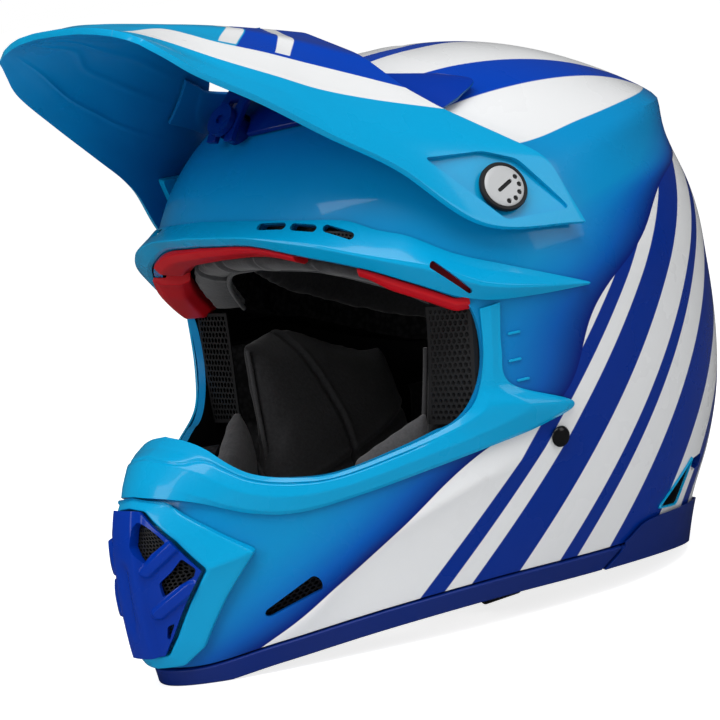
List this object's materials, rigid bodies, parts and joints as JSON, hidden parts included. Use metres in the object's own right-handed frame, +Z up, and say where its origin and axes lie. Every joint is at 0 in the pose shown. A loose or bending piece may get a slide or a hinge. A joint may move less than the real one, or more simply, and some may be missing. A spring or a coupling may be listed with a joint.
{
  "type": "motocross helmet",
  "caption": "Full-face off-road helmet with a wide eyeport, pointed vented chin bar, adjustable peak visor, padded liner and a double-ring chin strap.",
  "frame": {"origin": "on the resting plane under the edge trims, at the middle of the helmet's length and width", "axes": "+X to the wearer's left, the face looks along -Y, +Z up"},
  "size_m": [0.258, 0.3615, 0.3068],
  "materials": {
    "shell_paint": "clear-coated paint, light blue with dark blue and white panels",
    "visor_plastic": "gloss injection-moulded plastic with printed stripes",
    "blue_plastic": "satin moulded plastic, dark blue",
    "screw_plastic": "satin white disc",
    "rubber_trim": "soft moulded edge trim, dark blue",
    "black_mesh": "black honeycomb mesh",
    "foam": "black expanded foam, beaded",
    "red_foam": "red moulded foam edge",
    "pad_fabric": "black brushed knit over soft foam, with piping",
    "strap_web": "black woven webbing",
    "red_web": "red woven pull tab",
    "rivet_black": "black painted steel rivet",
    "steel": "plated steel"
  },
  "bodies": {
    "helmet": {"outer_shell": "shell_paint", "impact_liner": "foam", "chin_liner": "foam", "crown_pad": "pad_fabric", "brow_pad": "pad_fabric", "neck_roll": "pad_fabric", "cheek_core_left": "foam", "cheek_core_right": "foam", "cheek_pad_left": "pad_fabric", "cheek_pad_right": "pad_fabric", "eye_mesh_left": "black_mesh", "eye_mesh_right": "black_mesh", "red_liner_edge_centre": "red_foam", "red_liner_edge_left": "red_foam", "red_liner_edge_right": "red_foam", "brow_band": "shell_paint", "brow_vent_mesh": "black_mesh", "lip_guard": "shell_paint", "chin_vent_frame": "shell_paint", "chin_grille": "blue_plastic", "chin_vent_mesh": "black_mesh", "jaw_vent_mesh_left": "black_mesh", "jaw_vent_mesh_right": "black_mesh", "edge_trim": "rubber_trim", "rear_edge_trim": "rubber_trim", "rear_vent_mesh_left": "black_mesh", "rear_vent_mesh_right": "black_mesh", "crown_scoop": "blue_plastic", "visor_bush_left": "steel", "visor_bush_right": "steel", "visor_nut_left": "steel", "visor_nut_right": "steel", "centre_nut": "steel", "strap_rivets": "rivet_black", "strap_anchors": "steel", "chin_strap_left": "strap_web", "chin_strap_right": "strap_web", "strap_loop": "strap_web", "strap_snap": "steel", "release_tab_left": "red_web", "release_tab_right": "red_web"},
    "visor": {"visor": "visor_plastic", "visor_duct_left": "blue_plastic", "visor_duct_right": "blue_plastic"},
    "visor_screw_left": {"visor_screw_left": "screw_plastic"},
    "visor_screw_right": {"visor_screw_right": "screw_plastic"},
    "centre_screw": {"centre_screw": "steel"},
    "d_ring_upper": {"d_ring_upper": "steel"},
    "d_ring_lower": {"d_ring_lower": "steel"}
  },
  "joints": [
    {"name": "visor_tilt", "type": "hinge", "parent": "helmet", "child": "visor", "pos_m": [0, -0.014, 0.2015], "axis": [1, 0, 0], "range_deg": [-5, 6]},
    {"name": "visor_screw_left_turn", "type": "hinge", "parent": "helmet", "child": "visor_screw_left", "pos_m": [0.11238, -0.014, 0.2015], "axis": [0.9067, -0.1813, 0.3808], "continuous": true},
    {"name": "visor_screw_right_turn", "type": "hinge", "parent": "helmet", "child": "visor_screw_right", "pos_m": [-0.11238, -0.014, 0.2015], "axis": [-0.9067, -0.1813, 0.3808], "continuous": true},
    {"name": "centre_screw_turn", "type": "hinge", "parent": "helmet", "child": "centre_screw", "pos_m": [0, -0.014, 0.2015], "axis": [0, -0.7986, 0.6018], "continuous": true},
    {"name": "d_ring_upper_swing", "type": "hinge", "parent": "helmet", "child": "d_ring_upper", "pos_m": [0.056, -0.00405, 0.0112], "axis": [0, 1, 0], "range_deg": [0, 70]},
    {"name": "d_ring_lower_swing", "type": "hinge", "parent": "helmet", "child": "d_ring_lower", "pos_m": [0.056, -0.00405, 0.0062], "axis": [0, 1, 0], "range_deg": [0, 30]}
  ]
}
